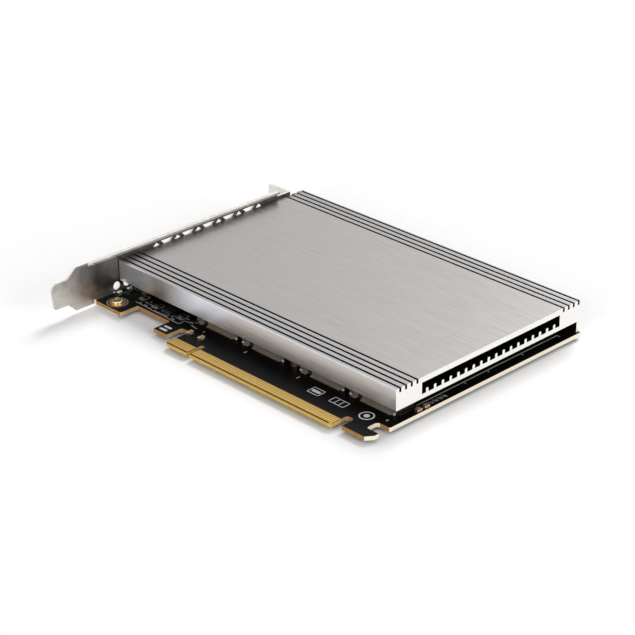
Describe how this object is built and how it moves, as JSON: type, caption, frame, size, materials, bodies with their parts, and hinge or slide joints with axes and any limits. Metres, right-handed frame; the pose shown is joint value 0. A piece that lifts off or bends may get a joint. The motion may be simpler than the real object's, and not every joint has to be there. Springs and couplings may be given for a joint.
{
  "type": "nvme adapter card",
  "caption": "Full-height expansion card: a folded steel bracket, a gold edge connector, and a grooved aluminium heatsink that covers a row of sockets for storage modules.",
  "frame": {"origin": "where the middle of the key notch meets the contact edge, on the board's component side", "axes": "+X along the card away from the bracket, +Y from the contact edge to the card's top edge, +Z out of the component side through the heatsink"},
  "size_m": [0.1577, 0.1269, 0.0186],
  "materials": {
    "circuit_board": "satin",
    "gold": "polished",
    "bracket_steel": "satin",
    "screw_steel": "polished",
    "heatsink_aluminium": "brushed",
    "spacer_brass": "satin",
    "socket_plastic": "matte",
    "tinned_metal": "satin",
    "pad_rubber": "matte",
    "light_plastic": "gloss",
    "chip_plastic": "matte",
    "coil_body": "matte",
    "capacitor_ceramic": "satin"
  },
  "bodies": {
    "root": {"board": "circuit_board", "edge_contacts_top": "gold", "edge_contacts_under": "gold", "bracket": "bracket_steel", "bracket_screws": "screw_steel", "heatsink": "heatsink_aluminium", "heatsink_spacers": "spacer_brass", "heatsink_screws": "screw_steel", "m2_seats": "gold", "m2_socket_1": "socket_plastic", "m2_contacts_1": "tinned_metal", "thermal_pad_1": "pad_rubber", "m2_socket_2": "socket_plastic", "m2_contacts_2": "tinned_metal", "thermal_pad_2": "pad_rubber", "m2_socket_3": "socket_plastic", "m2_contacts_3": "tinned_metal", "thermal_pad_3": "pad_rubber", "m2_socket_4": "socket_plastic", "m2_contacts_4": "tinned_metal", "thermal_pad_4": "pad_rubber", "m2_solder_tabs": "tinned_metal", "status_lights": "light_plastic", "clock_chip": "chip_plastic", "clock_chip_leads": "tinned_metal", "power_regulator": "chip_plastic", "power_coil": "coil_body", "power_coil_feet": "tinned_metal", "capacitor_bodies": "capacitor_ceramic", "capacitor_ends": "tinned_metal", "resistor_bodies": "chip_plastic", "resistor_ends": "tinned_metal"}
  },
  "joints": []
}
